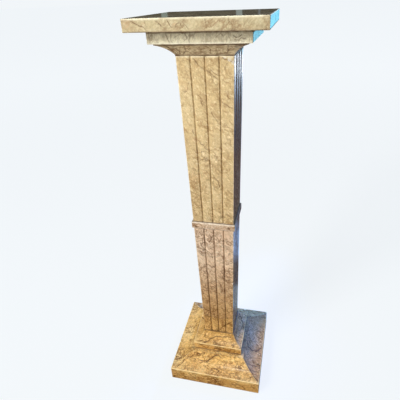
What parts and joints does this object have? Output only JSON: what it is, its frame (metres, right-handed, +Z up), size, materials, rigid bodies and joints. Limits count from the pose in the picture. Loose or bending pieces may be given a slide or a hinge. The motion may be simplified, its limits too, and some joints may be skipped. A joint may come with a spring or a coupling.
{
  "type": "art deco column",
  "caption": "Tapering square marble pedestal with a hollow-splayed stepped base, grooved shaft with a collar, flared neck and a square slab top for a vase, bust or lamp.",
  "frame": {"origin": "middle of the underside of the plinth, on the floor", "axes": "+Z up along the column's axis, -Y towards the front face, +X to the front's right"},
  "size_m": [0.2846, 0.2846, 1.05],
  "materials": {
    "plinth": "polished golden marble with brown veins and spots",
    "base_step": "polished golden marble with brown veins",
    "lower_shaft": "polished pinkish beige marble, brecciated, with V-grooves",
    "collar": "polished cream marble band",
    "upper_shaft": "polished honey-cream marble with brown veins and V-grooves",
    "neck_moulding": "polished brownish cream marble",
    "under_slab": "polished greyish cream marble",
    "top_slab": "highly polished cream marble"
  },
  "bodies": {
    "root": {"plinth": "plinth", "base_step": "base_step", "lower_shaft": "lower_shaft", "collar": "collar", "upper_shaft": "upper_shaft", "neck_moulding": "neck_moulding", "under_slab": "under_slab", "top_slab": "top_slab"}
  },
  "joints": []
}
